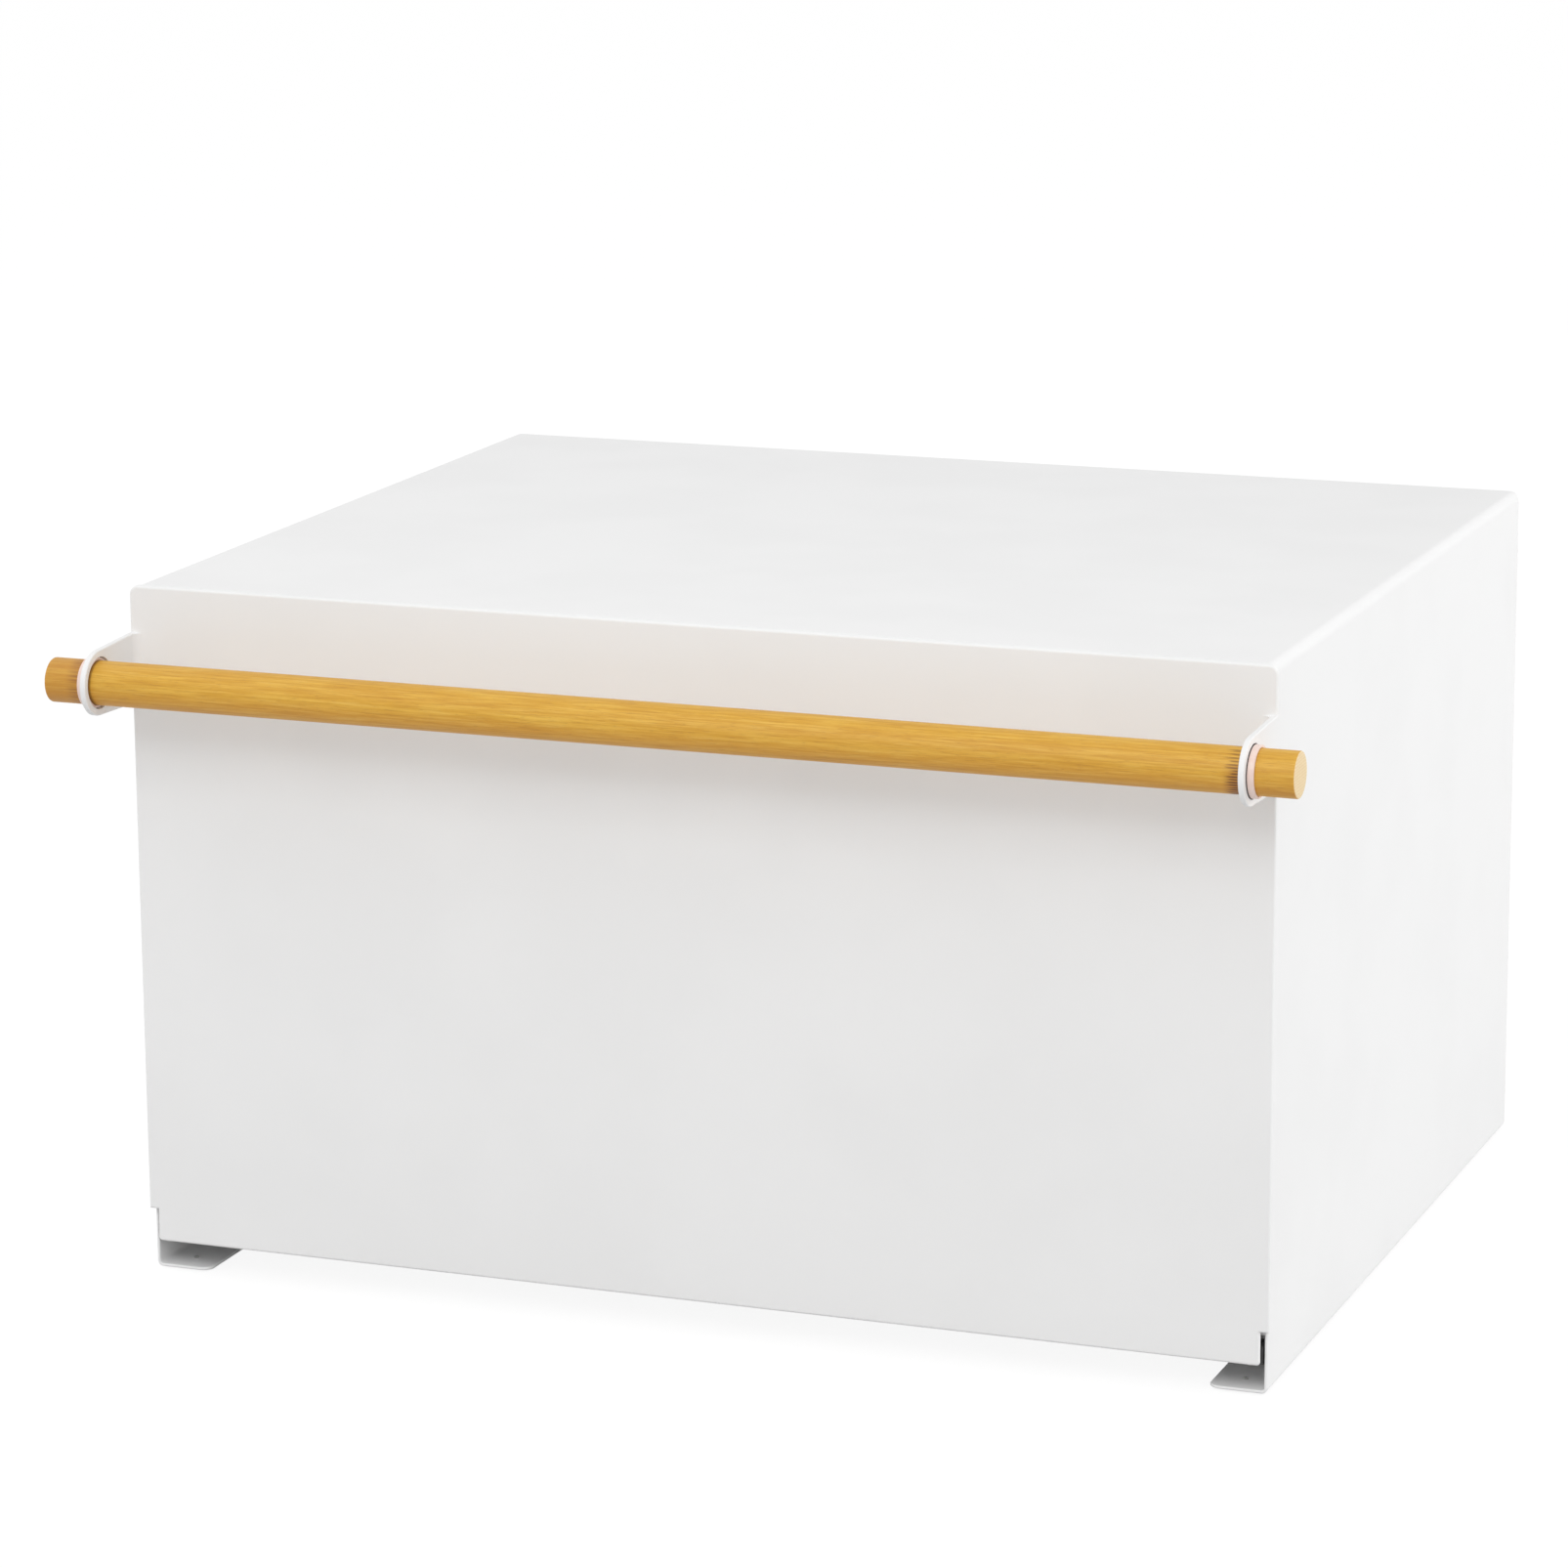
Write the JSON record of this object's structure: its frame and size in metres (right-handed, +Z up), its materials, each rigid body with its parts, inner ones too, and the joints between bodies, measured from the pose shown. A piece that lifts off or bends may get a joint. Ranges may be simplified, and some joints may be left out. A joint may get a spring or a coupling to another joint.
{
  "type": "bread box",
  "caption": "Sheet-steel bread box on two turned-in feet, with a full-width door that folds down on hinge pins and a round wooden rod as its handle.",
  "frame": {"origin": "on the table, under the middle of the whole box with its handle", "axes": "+X to the right, +Y to the back, +Z up; the door faces -Y"},
  "size_m": [0.43, 0.3601, 0.241],
  "materials": {
    "powder_coat": "white powder coat, matt satin",
    "wood": "light ash, oiled",
    "pale_polymer": "pale translucent polymer",
    "steel": "bright zinc",
    "black_acetal": "black acetal",
    "nylon": "white nylon",
    "magnet": "nickel plate",
    "silicone": "clear silicone",
    "rubber": "dark grey rubber"
  },
  "bodies": {
    "case": {"case_shell": "powder_coat", "back_panel": "powder_coat", "floor_panel": "powder_coat", "hinge_stud_left": "steel", "hinge_stud_right": "steel", "hinge_clip_left": "steel", "hinge_clip_right": "steel", "catch_body_left": "nylon", "catch_body_right": "nylon", "catch_magnet_left": "magnet", "catch_magnet_right": "magnet", "foot_pad_front_left": "rubber", "foot_pad_front_right": "rubber", "foot_pad_back_left": "rubber", "foot_pad_back_right": "rubber"},
    "door": {"door_panel": "powder_coat", "handle_rod": "wood", "rod_bush_left": "pale_polymer", "rod_bush_right": "pale_polymer", "hinge_bush_left": "black_acetal", "hinge_bush_right": "black_acetal", "door_bumper_left": "silicone", "door_bumper_right": "silicone"}
  },
  "joints": [
    {"name": "door_hinge", "type": "hinge", "parent": "case", "child": "door", "pos_m": [0, -0.13625, 0.014], "axis": [1, 0, 0], "range_deg": [0, 81.3]}
  ]
}
